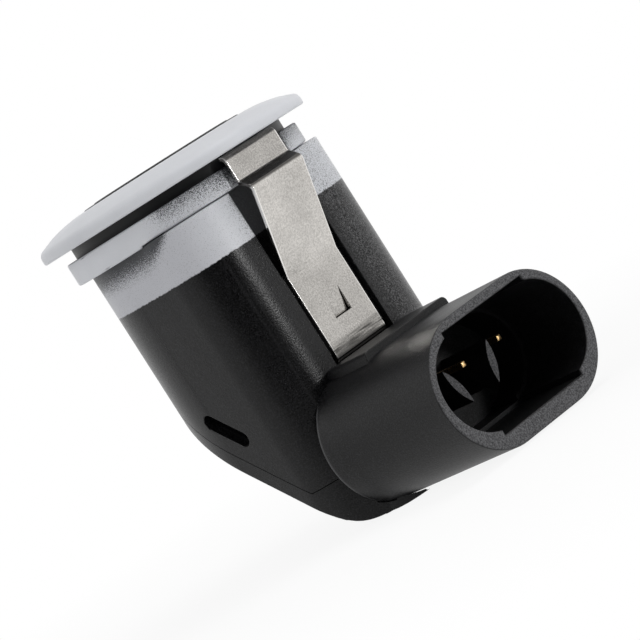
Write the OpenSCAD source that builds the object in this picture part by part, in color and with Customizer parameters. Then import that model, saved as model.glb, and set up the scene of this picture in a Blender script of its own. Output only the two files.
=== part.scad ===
// Ultrasonic parking sensor with an elbow housing, a plug socket and two panel clips.
// The origin is the centre of the bezel's rear seat. +Z leaves the sensing face, +X leaves the socket.

/* [Transducer] */
// Outer diameter of the transducer cup
cup_d = 15.8; // [13:0.1:18]
// Length of the transducer cup
cup_l = 9.1; // [8:0.05:11]
// Side wall of the cup
cup_wall = 0.9; // [0.6:0.05:1.4]
// Thickness of the sensing membrane
membrane_t = 0.8; // [0.5:0.05:1.2]
// Height of the membrane above the bezel crown
cup_proud = 0.2; // [0:0.05:0.4]
// Diameter of the piezo disc
piezo_d = 10; // [7:0.1:11]
// Thickness of the piezo disc
piezo_t = 0.5; // [0.3:0.05:1]
// Length of the damping foam
foam_l = 4.75; // [3:0.05:5.5]
// Radial thickness of the decoupling ring
ring_t = 1.2; // [0.9:0.05:1.8]
// Height of the decoupling ring above the bezel crown
ring_proud = 0.1; // [0:0.05:0.3]
// Thickness of the ring's foot under the cup
foot_t = 0.2; // [0.2:0.05:0.6]
// Diameter of the two leads
lead_d = 0.7; // [0.4:0.05:0.8]
// Centreline radius of the bend in each lead
lead_bend_r = 1.2; // [0.8:0.1:1.6]

/* [Bezel] */
// Height of the straight rim above the seat
rim_h = 1.2; // [0.8:0.1:1.6]
// Height of the crown above the seat
crown_h = 2.5; // [2:0.1:3.5]
// Overhang of the rim beyond the flange
rim_overhang = 1.8; // [1.2:0.1:4]
// Step between the flange edge and the seating land
land_gap = 0.5; // [0.4:0.05:0.8]
// Depth of the relief inside the seating land
seat_relief = 0.15; // [0.05:0.05:0.3]
// Wall of the bezel sleeve at the neck
sleeve_wall = 1.6; // [1.2:0.1:2.4]
// Radial depth of the groove behind the rim
groove_depth = 1.2; // [0.8:0.1:2]
// Height of the groove behind the rim
groove_h = 1.1; // [0.8:0.1:1.6]
// Height of the flange
flange_h = 2.2; // [1.5:0.1:3]
// Extra height of the lip round the back of the flange
lip_h = 0.2; // [0.1:0.05:0.4]
// Angle from the connector side at which the lip starts
lip_angle = 64.5; // [64:0.1:80]

/* [Housing] */
// Wall of the spigot inside the bezel sleeve
spigot_wall = 1.3; // [1:0.1:2]
// Height of the spigot above the seat
spigot_rise = 0.4; // [0.2:0.1:0.8]
// Shoulder of the body outside the spigot
body_step = 1.4; // [1:0.1:2.4]
// Cut from the round body to its flat front
front_trim = 0.1; // [0.1:0.1:0.8]
// Radius of the two front corners
corner_r = 5.6; // [4.5:0.1:8.5]
// Side wall of the body
wall = 2; // [1.5:0.1:2.4]
// Wall between the flat front and the cavity
front_wall = 3.4; // [3:0.1:4]
// Thickness of the deck under the transducer
deck_t = 1.6; // [1:0.1:2.4]
// Depth of the socket axis under the deck
socket_drop = 22.3; // [21:0.05:26]

/* [Rear cover] */
// Angle between the sloping cover and the level
slope_angle = 43.1; // [41:0.1:46]
// Thickness of the sloping cover plate
cover_t = 1.52; // [1.3:0.02:2]
// Distance from the tube's back edge to the bend of the heel behind it
heel = 0.6; // [0.3:0.1:1.5]
// Radius of the bend between the slope and the foot
heel_r = 5.8; // [3:0.1:7]
// Depth of the level seam under the socket axis
seam_drop = 1.55; // [0.8:0.05:2]
// Reach of the cover's foot beyond the tube's back edge
foot_reach = 2.1; // [1:0.1:4]
// Width of the cover's foot under the tube
foot_w = 18; // [14:0.1:19]
// Radius of the foot's front corners
foot_corner_r = 4.8; // [2:0.1:6]
// Length of each snap window
window_l = 5.8; // [5:0.1:7]
// Height of each snap window
window_h = 1.6; // [1.4:0.1:2]
// Distance of the snap windows from the sloping seam
window_rise = 2.45; // [2:0.05:3]
// Shift of the snap windows along the slope
window_shift = -0.85; // [-1.5:0.05:0.5]
// Thickness of each snap arm
arm_t = 1.1; // [0.8:0.1:1.4]
// Length of each snap arm along the slope
arm_l = 4; // [3:0.1:4.2]
// Height of the lug on each snap arm
lug_h = 1; // [0.6:0.1:1.3]

/* [Socket] */
// Width of the socket tube
tube_w = 21.9; // [20.5:0.1:24]
// Height of the socket tube
tube_h = 13.8; // [12.8:0.1:16]
// Length of the socket tube
tube_l = 17.9; // [16:0.1:24]
// Depth by which the tube reaches into the flat front
tube_bite = 0.5; // [0.3:0.1:1]
// Length of the collar at the tube's root
collar_l = 0.7; // [0.4:0.1:1.2]
// Reach of the collar beyond each side of the tube
collar_out = 0.5; // [0.2:0.05:0.9]
// Wall of the tube at its two round ends
end_wall = 0.95; // [0.7:0.05:1.4]
// Wall of the tube over the upper keyway
top_wall = 0.95; // [0.8:0.05:1.5]
// Wall of the tube under the lower keyway
bottom_wall = 1.79; // [1:0.01:2]
// Width of the two keyways
key_w = 12.1; // [9:0.1:13]
// Depth of the two keyways
key_step = 0.43; // [0.2:0.01:0.6]
// Depth of the socket from its mouth
socket_depth = 13.2; // [10:0.1:14]
// Depth of the sealing ledge from the mouth
ledge_depth = 9.2; // [6:0.1:9.5]
// Width of the sealing ledge
ledge_w = 0.4; // [0.2:0.05:0.8]
// Width of the latch shelf on top of the tube
shelf_w = 12.6; // [10:0.1:14]
// Height of the latch shelf
shelf_h = 0.7; // [0.5:0.1:1.4]
// Reach of the latch shelf beyond the flat front
shelf_reach = 6.5; // [4:0.1:8]
// Radius of the latch shelf's upper edges
shelf_r = 0.6; // [0.2:0.1:0.9]

/* [Contacts] */
// Side of the square contact pins
pin_size = 0.64; // [0.5:0.01:0.8]
// Distance between neighbouring pins
pin_pitch = 5.6; // [5:0.1:6]
// Height of the pins above the socket axis
pin_lift = 1.6; // [1:0.05:2.2]
// Length of the pins inside the socket
pin_reach = 6.5; // [5:0.1:9]
// Length of the pin tails behind the board
pin_tail = 0.8; // [0.5:0.1:1.2]
// Length of the taper at each pin tip
pin_taper = 0.3; // [0.2:0.1:1]
// Share of the pin's side that is left at its tip
pin_tip = 0.7; // [0.4:0.05:0.9]
// Length of the two ribs inside the socket
rib_reach = 7.2; // [5:0.1:9]
// Height of the ribs' lens section
rib_h = 4.33; // [3:0.01:5]
// Thickness of the ribs' lens section
rib_t = 0.9; // [0.6:0.05:1.2]
// Lean of the ribs
rib_lean = 18.9; // [0:0.1:25]
// Height of the ribs' middle above the socket axis
rib_lift = 0.3; // [0:0.05:0.6]

/* [Spring clips] */
// Width of the clip strip
clip_w = 7.4; // [6:0.1:8]
// Thickness of the clip strip
clip_t = 0.4; // [0.3:0.05:0.5]
// Centreline radius of the clip's bends
clip_bend_r = 0.5; // [0.4:0.05:0.6]
// Distance from the neck to the clip's upper leg
clip_standoff = 0.8; // [0.7:0.05:1]
// Depth of the clip's hook under the seat
hook_drop = 0.35; // [0.35:0.05:0.5]
// Reach of the clip's shoulder beyond the upper leg
shoulder_out = 1.45; // [1:0.05:1.8]
// Height of the sloping step above the clip's shoulder
shoulder_h = 1; // [0.8:0.1:1.4]
// Depth of the front clip's knee under the body top
knee_drop = 10.1; // [8:0.1:12]
// Length of the back clip's lower leg
back_leg = 1.9; // [1.6:0.1:2.4]
// Inward turn of the clip's foot
foot_in = 1.2; // [1:0.1:1.4]
// Side clearance of the clip in its channel
clip_side_gap = 0.6; // [0.3:0.1:1]
// Depth of the clip channel
channel_depth = 1.5; // [1.3:0.1:1.8]
// Depth of the pad that the clip lies on
pad_depth = 0.6; // [0.4:0.05:0.7]
// Width of the lanced tongue
tongue_w = 2.1; // [1.5:0.1:3]
// Length of the lanced tongue
tongue_l = 2.3; // [1.6:0.1:3]
// Distance from the knee to the tongue
tongue_drop = 3.4; // [2:0.1:4]
// Inward set of the tongue's free end
tongue_in = 0.5; // [0.4:0.05:0.8]

/* [Electronics] */
// Thickness of the circuit board
board_t = 1.2; // [0.8:0.1:1.6]
// Height of the bosses that carry the board
board_standoff = 1; // [0.6:0.1:1.4]
// Clearance round the edge of the board
board_gap = 0.2; // [0.1:0.05:0.5]
// Distance from the deck to the top of the board
board_top_gap = 2.3; // [1:0.1:2.6]
// Length of the control chip
chip_l = 5; // [4:0.1:5.5]
// Width of the control chip
chip_w = 4; // [3:0.1:5]
// Thickness of the control chip
chip_t = 1.4; // [1:0.1:1.6]
// Number of legs on each side of the chip
chip_legs = 4; // [2:1:6]
// Diameter of the transformer core's rims
core_d = 6.6; // [5:0.1:6.8]
// Height of the transformer
core_h = 6.2; // [4:0.1:6.5]
// Diameter of the transformer core's post
post_d = 3; // [2:0.1:4]
// Thickness of the core's rims
core_rim_t = 0.9; // [0.6:0.1:1.2]
// Diameter of the storage capacitor
cap_d = 4; // [3:0.1:4.2]
// Height of the storage capacitor
cap_h = 5; // [4:0.1:6]
// Number of chip resistors
resistor_count = 4; // [2:1:4]
// Distance between neighbouring chip resistors
resistor_pitch = 2; // [1.7:0.1:2.2]
// Length of each chip resistor
resistor_l = 2; // [1.2:0.1:2.4]
// Width of each chip resistor
resistor_w = 1.25; // [0.8:0.05:1.5]
// Height of each chip resistor
resistor_h = 0.6; // [0.4:0.05:0.8]
// Depth of the potting compound over the sloping seam
potting_t = 1.98; // [1.5:0.02:2.2]

/* [Fits] */
// Clearance of the rubber and foam pieces in their seats
slip = 0.05; // [0.02:0.01:0.1]
// Clearance between the bezel and the housing
bezel_gap = 0.1; // [0.05:0.01:0.2]
// Clearance between the rear cover and the housing
cover_gap = 0.08; // [0.04:0.01:0.15]
// Clearance round the leads and the snap lugs
loose = 0.2; // [0.1:0.05:0.3]

/* [Hidden] */
$fn = 64;
far = 60; // reach of the cutting shapes
lap = 0.5; // overlap of shapes that join or cut

// Radii from the transducer outwards
cup_r = cup_d / 2;
ring_in_r = cup_r + slip;
ring_out_r = ring_in_r + ring_t;
bore_r = ring_out_r + slip;
spigot_r = bore_r + spigot_wall;
sleeve_r = spigot_r + bezel_gap;
neck_r = sleeve_r + sleeve_wall;
flange_r = neck_r + groove_depth;
land_r = flange_r + land_gap;
bezel_r = flange_r + rim_overhang;
body_r = spigot_r + body_step;
front_x = body_r - front_trim;

// Heights from the sensing face downwards
cup_top = crown_h + cup_proud;
cup_bottom = cup_top - cup_l;
piezo_top = cup_top - membrane_t;
piezo_bottom = piezo_top - piezo_t;
flange_bottom = -groove_h - flange_h;
body_top = flange_bottom - bezel_gap;
deck_top = cup_bottom - foot_t;
deck_bottom = deck_top - deck_t;
socket_z = deck_bottom - socket_drop;
tube_top = socket_z + tube_h / 2;
seam_z = socket_z - seam_drop;
foot_z = socket_z - tube_h / 2;

// Each plane along the slope is named by its height at x = 0
tube_back = front_x - tube_bite;
mouth_x = tube_back + tube_l;
slope_t = tan(slope_angle);
slope_out = foot_z + (tube_back - heel) * slope_t;
slope_seam = slope_out + cover_t / cos(slope_angle);
potting_top = slope_seam + potting_t / cos(slope_angle);
slope_rise = far * slope_t;
foot_front = tube_back + foot_reach;

// Socket opening
key_half = (tube_h - top_wall - bottom_wall) / 2;
open_half = key_half - key_step;
open_w = tube_w - 2 * end_wall;
open_z = socket_z + (bottom_wall - top_wall) / 2;
floor_x = mouth_x - socket_depth;
ledge_x = mouth_x - ledge_depth;
pin_z = socket_z + pin_lift;
boss_d = pin_size + 4 * loose + 1;

// Cavity and board
cavity_x = front_x - front_wall;
cavity_corner_r = corner_r - wall;
board_out = cavity_x - board_standoff;
board_in = board_out - board_t;
board_top = deck_bottom - board_top_gap;
board_bottom = slope_seam - board_in * slope_t + 3 * loose;
corner_half = body_r - corner_r;
board_half = corner_half + sqrt(cavity_corner_r ^ 2 - (board_out - front_x + corner_r) ^ 2) - board_gap;

// Leads: one on the piezo disc, one on the membrane beside it
lead_r = lead_d / 2;
piezo_lead_pos = (piezo_d / 2 - lead_d - slip) * [cos(45), sin(45)];
ground_lead_r = (piezo_d / 2 + cup_r - cup_wall) / 2;
ground_lead_pos = ground_lead_r * [cos(60), -sin(60)];
deck_hole_r = ground_lead_r + lead_r + loose;
lead_z = board_top - lead_d - loose;

// Parts on the board
chip_z = potting_top - (board_in - chip_t) * slope_t + loose + chip_l / 2;
core_z = chip_z + chip_l / 2 + core_d / 2 + loose;
cap_y = core_d / 2 + cap_d / 2 + loose;
resistor_y = -board_half + 3 * loose;

// Clips
clip_half = clip_t / 2;
leg_x = neck_r + clip_standoff;
shoulder_x = leg_x + shoulder_out;
step_z = flange_bottom + loose;
shoulder_z = step_z - shoulder_h;
pad_x = front_x - pad_depth;
pad_mid = pad_x + clip_half;
channel_x = front_x - channel_depth;
channel_half = clip_w / 2 + clip_side_gap;
slot_x = pad_mid - foot_in - 2 * loose;
cut_x = body_r + loose;
front_knee_z = body_top - knee_drop;
front_foot_z = tube_top + 4 * loose;
back_foot_z = slope_seam + body_r * slope_t + 6 * loose;
back_knee_z = back_foot_z + back_leg;
tongue_top = front_knee_z - tongue_drop;

function unit(v) = v / norm(v);
function perp(v) = [-v[1], v[0]];

// Points of an arc of radius r that rounds the corner q of the path p, q, s
function bend(p, q, s, r, n = 5) =
    let (a = unit(p - q), b = unit(s - q), half = acos(a * b) / 2, turn = 180 - 2 * half,
         mid = q + unit(a + b) * r / sin(half),
         from = q + a * r / tan(half) - mid, to = q + b * r / tan(half) - mid)
    [for (i = [0:n]) mid + (sin((1 - i / n) * turn) * from + sin(i / n * turn) * to) / sin(turn)];

function rounded(path, r) = let (last = len(path) - 1)
    [path[0], for (i = [1:last - 1]) each bend(path[i - 1], path[i], path[i + 1], r), path[last]];

// Mitred side point at index i of a path, at distance d to its left
function beside(path, i, d) = let (last = len(path) - 1,
    a = unit(path[max(i, 1)] - path[max(i, 1) - 1]),
    b = unit(path[min(i, last - 1) + 1] - path[min(i, last - 1)]), side = unit(perp(a) + perp(b)))
    path[i] + side * d / (side * perp(a));

function ribbon(path, t) = let (last = len(path) - 1)
    concat([for (i = [0:last]) beside(path, i, t / 2)], [for (i = [last:-1:0]) beside(path, i, -t / 2)]);

// Plane shapes in X and Z, carried along Y
module across(width) { rotate([90, 0, 0]) linear_extrude(width, center = true) children(); }

// Plane shapes in Y and Z, carried along +X from x0 to x1
module along(x0, x1) {
    translate([x0, 0, 0]) rotate([90, 0, 90]) linear_extrude(x1 - x0) children();
}

// Frame on the sloping seam: X down the slope, Z into the housing
module on_slope() { translate([0, 0, slope_seam]) rotate([0, slope_angle, 0]) children(); }

module both_sides() {
    children();
    mirror([0, 1, 0]) children();
}

// Straight-sided outline from x = 0 to a front with two round corners
module front_outline(half, front, r, inset = 0) {
    translate([0, inset - half]) square([front - r, 2 * (half - inset)]);
    for (side = [-1, 1]) translate([front - r, side * (half - r)]) circle(r - inset);
    translate([front - r, r - half]) square([r - inset, 2 * (half - r)]);
}

module body_outline(inset = 0) {
    intersection() {
        circle(body_r - inset);
        translate([-far, -far / 2]) square([far, far]);
    }
    front_outline(body_r, front_x, corner_r, inset);
}

// Oval with round ends, centred, in two coordinates
module oval(w, h) {
    for (side = [-1, 1]) translate([side * (w - h) / 2, 0]) circle(d = h);
    square([w - h, h], center = true);
}

// Region above the sloping seam and the level seam
module above_seam() {
    across(far) polygon([[-far, slope_seam + slope_rise], [(slope_seam - seam_z) / slope_t, seam_z],
                         [far, seam_z], [far, far], [-far, far]]);
}

// Region above the outer slope, the heel and the foot
module above_heel() {
    top = [-far, slope_out + slope_rise];
    across(far) polygon([[far, foot_z], each bend([far, foot_z], [tube_back - heel, foot_z], top, heel_r, 8),
                         top, [far, far]]);
}

module cavity() {
    intersection() {
        translate([0, 0, -far]) linear_extrude(far + deck_bottom) body_outline(wall);
        translate([-cavity_x, -far / 2, -far]) cube([2 * cavity_x, far, far]);
    }
}

// Socket tube with a wider collar at its root, grown by a clearance
module tube(grow = 0) {
    h = tube_h + 2 * grow;
    translate([0, 0, socket_z]) {
        along(tube_back - grow, mouth_x) oval(tube_w + 2 * grow, h);
        along(tube_back - grow, tube_back + collar_l + grow) oval(tube_w + 2 * (collar_out + grow), h);
    }
}

module opening_outline(inset = 0) {
    translate([0, open_z]) {
        oval(open_w - 2 * inset, 2 * (open_half - inset));
        square([key_w - 2 * inset, 2 * (key_half - inset)], center = true);
    }
}

module pins_at() { for (i = [-1:1]) translate([0, i * pin_pitch, pin_z]) children(); }

module pin_bars(x0, x1) {
    pins_at() translate([x0, -pin_size / 2, -pin_size / 2]) cube([x1 - x0, pin_size, pin_size]);
}

module bosses() {
    pins_at() translate([board_out, 0, 0]) rotate([0, 90, 0]) cylinder(d = boss_d, h = board_standoff + lap);
}

// Channel for a clip: floor behind the sloping part, pad under the lower leg, slot for the foot
module clip_channel(knee_z, foot_z) {
    pad_top = knee_z + lap;
    slot_top = foot_z + clip_bend_r + loose;
    slot_bottom = foot_z - 3 * loose;
    across(2 * channel_half)
        polygon([[cut_x, body_top], [channel_x, body_top], [channel_x, pad_top], [pad_x, pad_top],
                 [pad_x, slot_top], [slot_x, slot_top], [slot_x, slot_bottom], [cut_x, slot_bottom]]);
}

module tongue_pocket() {
    pocket_x = pad_x - tongue_in - loose;
    translate([pocket_x, -tongue_w / 2 - loose, tongue_top - tongue_l - 2 * loose])
        cube([cut_x - pocket_x, tongue_w + 2 * loose, tongue_l + 3 * loose]);
}

module snap_windows() {
    both_sides() on_slope() translate([window_shift, 0, window_rise]) rotate([90, 0, 0])
        linear_extrude(far) oval(window_l, window_h);
}

// Wide shelf between the flat front and the tube's top, with round upper edges
module latch_shelf() {
    half = shelf_w / 2 - shelf_r;
    along(front_x - lap, front_x + shelf_reach) translate([0, tube_top + shelf_h - shelf_r]) {
        for (side = [-1, 1]) translate([side * half, 0]) circle(shelf_r);
        translate([-half, -shelf_r]) square([2 * half, 2 * shelf_r]);
        translate([-shelf_w / 2, -shelf_h - lap]) square([shelf_w, shelf_h + lap]);
    }
}

module socket_ribs() {
    lens_r = ((rib_h / 2) ^ 2 + (rib_t / 2) ^ 2) / rib_t;
    along(floor_x - lap, floor_x + rib_reach) for (side = [-1, 1])
        translate([side * (pin_pitch / 2 - loose / 2), socket_z + rib_lift]) rotate(-side * rib_lean)
            intersection_for(bulge = [-1, 1]) translate([bulge * (lens_r - rib_t / 2), 0]) circle(lens_r);
}

module housing() {
    color([0.16, 0.16, 0.17]) {
        difference() {
            union() {
                intersection() {
                    translate([0, 0, seam_z]) linear_extrude(body_top - seam_z) body_outline();
                    above_seam();
                }
                translate([0, 0, body_top - lap]) cylinder(r = spigot_r, h = spigot_rise - body_top + lap);
                intersection() {
                    tube();
                    translate([0, 0, -cover_gap]) above_heel();
                }
                latch_shelf();
            }
            translate([0, 0, deck_top]) cylinder(r = bore_r, h = far);
            translate([0, 0, -far]) cylinder(r = deck_hole_r, h = far);
            difference() {
                cavity();
                bosses();
            }
            clip_channel(front_knee_z, front_foot_z);
            mirror([1, 0, 0]) clip_channel(back_knee_z, back_foot_z);
            tongue_pocket();
            snap_windows();
            along(ledge_x, mouth_x + lap) opening_outline();
            along(floor_x, ledge_x + lap) opening_outline(ledge_w);
            pin_bars(0, floor_x + lap);
        }
        socket_ribs();
    }
}

// Snap arm in the slope's frame, with a lug that ramps towards its tip
module snap_arm() {
    arm_out = body_r - wall - 2 * loose;
    lug_z = window_rise - window_h / 2 + loose;
    tip_z = window_rise + window_h / 2 - loose;
    translate([window_shift - arm_l / 2, 0, 0]) rotate([90, 0, 90]) linear_extrude(arm_l)
        polygon([[arm_out - arm_t, -lap], [arm_out, -lap], [arm_out, lug_z], [arm_out + lug_h, lug_z],
                 [arm_out + lug_h, lug_z + loose], [arm_out, tip_z], [arm_out - arm_t, tip_z]]);
}

module rear_cover() {
    seam = slope_seam - cover_gap / cos(slope_angle);
    level = seam_z - cover_gap;
    color([0.13, 0.13, 0.14]) {
        difference() {
            intersection() {
                translate([0, 0, -far]) linear_extrude(far) {
                    body_outline();
                    front_outline(foot_w / 2, foot_front, foot_corner_r);
                }
                above_heel();
                across(far) polygon([[-far, seam + slope_rise], [(seam - level) / slope_t, level],
                                     [far, level], [far, -far], [-far, -far]]);
            }
            tube(cover_gap);
        }
        both_sides() on_slope() snap_arm();
    }
}

module bezel_ring() {
    rise = crown_h - rim_h;
    span = bezel_r - bore_r;
    crown_r = (span ^ 2 + rise ^ 2) / (2 * rise);
    color([0.78, 0.78, 0.79]) difference() {
        union() {
            rotate_extrude() intersection() {
                polygon([[bore_r, spigot_rise], [sleeve_r, spigot_rise], [sleeve_r, flange_bottom],
                         [flange_r, flange_bottom], [flange_r, -groove_h], [neck_r, -groove_h],
                         [neck_r, seat_relief], [land_r, seat_relief], [land_r, 0], [bezel_r, 0],
                         [bezel_r, crown_h], [bore_r, crown_h]]);
                translate([bore_r, crown_h - crown_r]) circle(crown_r);
            }
            translate([0, 0, flange_bottom - lip_h]) linear_extrude(lip_h + lap) difference() {
                circle(flange_r);
                body_outline(-bezel_gap);
                polygon(far * [[0, 0], [cos(lip_angle), sin(lip_angle)], [1, 1], [1, -1],
                               [cos(lip_angle), -sin(lip_angle)]]);
            }
        }
        for (turn = [0, 180]) rotate(turn)
            translate([neck_r, -channel_half, -far]) cube([far, 2 * channel_half, far - groove_h]);
    }
}

module transducer_cup() {
    color([0.09, 0.09, 0.1]) difference() {
        translate([0, 0, cup_bottom]) cylinder(r = cup_r, h = cup_l);
        translate([0, 0, cup_bottom - lap]) cylinder(r = cup_r - cup_wall, h = cup_l - membrane_t + lap);
    }
}

module decoupling_ring() {
    ring_top = crown_h + ring_proud;
    color([0.06, 0.06, 0.07]) rotate_extrude()
        polygon([[deck_hole_r, deck_top], [ring_out_r, deck_top], [ring_out_r, ring_top],
                 [ring_in_r, ring_top], [ring_in_r, cup_bottom], [deck_hole_r, cup_bottom]]);
}

module piezo_disc() {
    color([0.83, 0.8, 0.68]) translate([0, 0, piezo_bottom]) cylinder(d = piezo_d, h = piezo_t);
}

module damping_foam() {
    color([0.85, 0.84, 0.8]) difference() {
        translate([0, 0, piezo_bottom - slip - foam_l]) cylinder(r = cup_r - cup_wall - slip, h = foam_l);
        for (pos = [piezo_lead_pos, ground_lead_pos])
            translate([pos[0], pos[1], -far / 2]) cylinder(r = lead_r + loose, h = far);
    }
}

// Lead that drops from z_top, bends once and ends on the board's inner face
module lead(pos, z_top) {
    translate([pos[0], pos[1], lead_z + lead_bend_r])
        cylinder(d = lead_d, h = z_top - lead_z - lead_bend_r);
    translate([pos[0] + lead_bend_r, pos[1], lead_z + lead_bend_r]) rotate([90, 0, 0])
        rotate([0, 0, 180]) rotate_extrude(angle = 90) translate([lead_bend_r, 0]) circle(d = lead_d);
    translate([pos[0] + lead_bend_r, pos[1], lead_z]) rotate([0, 90, 0])
        cylinder(d = lead_d, h = board_in - pos[0] - lead_bend_r);
}

module piezo_lead() { color([0.75, 0.1, 0.1]) lead(piezo_lead_pos, piezo_bottom); }

module ground_lead() { color([0.1, 0.1, 0.1]) lead(ground_lead_pos, piezo_top); }

module board_block() {
    translate([board_in, -board_half, board_bottom])
        cube([board_t, 2 * board_half, board_top - board_bottom]);
}

module circuit_board() {
    color([0.1, 0.35, 0.2]) difference() {
        board_block();
        pins_at() rotate([0, 90, 0]) cylinder(d = pin_size * sqrt(2) + slip, h = far);
    }
}

module control_chip() {
    leg_w = chip_l / (2 * chip_legs);
    leg_h = chip_t / 4;
    leg_y = chip_w / 2 + chip_t / 2;
    color([0.12, 0.12, 0.13]) translate([board_in, 0, chip_z - chip_l / 2]) {
        translate([-chip_t, -chip_w / 2, 0]) cube([chip_t - leg_h / 2, chip_w, chip_l]);
        for (i = [0:chip_legs - 1])
            translate([-leg_h, -leg_y, (2 * i + 0.5) * leg_w]) cube([leg_h, 2 * leg_y, leg_w]);
    }
}

// Cylinder on the board's inner face, from h0 to h1 above it
module on_board(y, z, d, h0, h1) {
    translate([board_in - h1, y, z]) rotate([0, 90, 0]) cylinder(d = d, h = h1 - h0);
}

module transformer_core() {
    color([0.2, 0.19, 0.19]) {
        on_board(0, core_z, core_d, 0, core_rim_t);
        on_board(0, core_z, post_d, core_rim_t - slip, core_h - core_rim_t + slip);
        on_board(0, core_z, core_d, core_h - core_rim_t, core_h);
    }
}

module transformer_winding() {
    color([0.72, 0.4, 0.2]) difference() {
        on_board(0, core_z, core_d - 3 * loose, core_rim_t, core_h - core_rim_t);
        on_board(0, core_z, post_d, 0, core_h);
    }
}

module storage_capacitor() {
    crimp = cap_h / 5;
    color([0.75, 0.75, 0.77]) difference() {
        on_board(cap_y, core_z, cap_d, 0, cap_h);
        difference() {
            on_board(cap_y, core_z, cap_d + lap, crimp, crimp + 2 * loose);
            on_board(cap_y, core_z, cap_d - 2 * loose, crimp, crimp + 2 * loose);
        }
    }
}

module chip_resistors() {
    row_z = core_z - (resistor_count - 1) / 2 * resistor_pitch - resistor_w / 2;
    color([0.14, 0.14, 0.15]) for (i = [0:resistor_count - 1])
        translate([board_in - resistor_h, resistor_y, row_z + i * resistor_pitch])
            cube([resistor_h, resistor_l, resistor_w]);
}

// Square pin with a tapered tip
module contact_pin(i) {
    x0 = board_in - pin_tail;
    x1 = floor_x + pin_reach;
    half = pin_size / 2;
    tip = half * pin_tip;
    side = [[x0, -half], [x1 - pin_taper, -half], [x1, -tip], [x1, tip], [x1 - pin_taper, half], [x0, half]];
    color([0.83, 0.68, 0.32]) translate([0, i * pin_pitch, pin_z]) intersection() {
        across(pin_size) polygon(side);
        translate([0, 0, -half]) linear_extrude(pin_size) polygon(side);
    }
}

module contact_pin_left() { contact_pin(-1); }

module contact_pin_middle() { contact_pin(0); }

module contact_pin_right() { contact_pin(1); }

// Strip that hooks into the groove, bulges to a shoulder and lies on its pad down to an inward foot
module clip_strip(knee_z, foot_z) {
    path = rounded([[neck_r + loose, -hook_drop], [leg_x, -hook_drop], [leg_x, step_z],
                    [shoulder_x, shoulder_z], [pad_mid, knee_z], [pad_mid, foot_z],
                    [pad_mid - foot_in, foot_z - loose]], clip_bend_r);
    across(clip_w) polygon(ribbon(path, clip_t));
}

module spring_clip_front() {
    color([0.7, 0.68, 0.65]) {
        difference() {
            clip_strip(front_knee_z, front_foot_z);
            translate([pad_x - lap, -tongue_w / 2 - slip, tongue_top - tongue_l - slip])
                cube([2 * lap + clip_t, tongue_w + 2 * slip, tongue_l + slip]);
        }
        across(tongue_w) polygon(ribbon([[pad_mid, tongue_top + lap], [pad_mid, tongue_top],
                                         [pad_mid - tongue_in, tongue_top - tongue_l]], clip_t));
    }
}

module spring_clip_back() {
    color([0.7, 0.68, 0.65]) mirror([1, 0, 0]) clip_strip(back_knee_z, back_foot_z);
}

module potting_compound() {
    color([0.2, 0.18, 0.16]) difference() {
        intersection() {
            cavity();
            above_seam();
            across(far) polygon([[-far, -2 * far], [far, -2 * far], [far, potting_top - slope_rise],
                                 [-far, potting_top + slope_rise]]);
        }
        board_block();
        bosses();
        pin_bars(board_in - pin_tail, floor_x);
        both_sides() on_slope() snap_arm();
    }
}

housing();
rear_cover();
bezel_ring();
transducer_cup();
decoupling_ring();
piezo_disc();
damping_foam();
piezo_lead();
ground_lead();
circuit_board();
control_chip();
transformer_core();
transformer_winding();
storage_capacitor();
chip_resistors();
contact_pin_left();
contact_pin_middle();
contact_pin_right();
spring_clip_front();
spring_clip_back();
potting_compound();
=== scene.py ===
import math

import bmesh
import bpy
import numpy as np
from mathutils import Matrix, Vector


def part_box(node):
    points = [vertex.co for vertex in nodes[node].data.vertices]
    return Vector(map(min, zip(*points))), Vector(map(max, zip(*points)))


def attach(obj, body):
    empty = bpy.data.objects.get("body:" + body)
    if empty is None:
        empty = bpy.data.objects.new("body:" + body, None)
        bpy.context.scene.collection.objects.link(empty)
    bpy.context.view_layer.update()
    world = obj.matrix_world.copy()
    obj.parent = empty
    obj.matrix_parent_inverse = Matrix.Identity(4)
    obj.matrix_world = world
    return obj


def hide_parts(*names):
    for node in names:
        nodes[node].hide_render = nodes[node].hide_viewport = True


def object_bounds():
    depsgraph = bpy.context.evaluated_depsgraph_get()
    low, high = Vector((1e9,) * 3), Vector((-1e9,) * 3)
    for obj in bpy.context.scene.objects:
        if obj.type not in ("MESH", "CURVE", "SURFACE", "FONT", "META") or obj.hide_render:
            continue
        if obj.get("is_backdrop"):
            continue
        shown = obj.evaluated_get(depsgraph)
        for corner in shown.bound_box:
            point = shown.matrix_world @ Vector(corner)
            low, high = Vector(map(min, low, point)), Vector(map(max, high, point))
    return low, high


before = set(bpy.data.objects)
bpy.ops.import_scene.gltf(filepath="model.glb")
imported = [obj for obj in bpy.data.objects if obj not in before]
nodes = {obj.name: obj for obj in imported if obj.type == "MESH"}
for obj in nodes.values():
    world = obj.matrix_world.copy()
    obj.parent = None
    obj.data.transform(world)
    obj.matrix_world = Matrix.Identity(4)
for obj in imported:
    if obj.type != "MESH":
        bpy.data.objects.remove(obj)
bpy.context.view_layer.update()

mm = 0.001
mergeGap = 1e-7  # m, points closer than this are one
white = (1.0, 1.0, 1.0, 1.0)
scene = bpy.context.scene
scene.view_settings.view_transform = "Standard"
print("frame loaded:", len(nodes), "nodes")


# pose of a camera or a lamp, which looks along its own -Z
def poseMatrix(right, back, place):
    pose = np.eye(4)
    pose[:3, 0] = right
    pose[:3, 1] = np.cross(back, right)
    pose[:3, 2] = back
    pose[:3, 3] = place
    return Matrix(pose.tolist())


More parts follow.
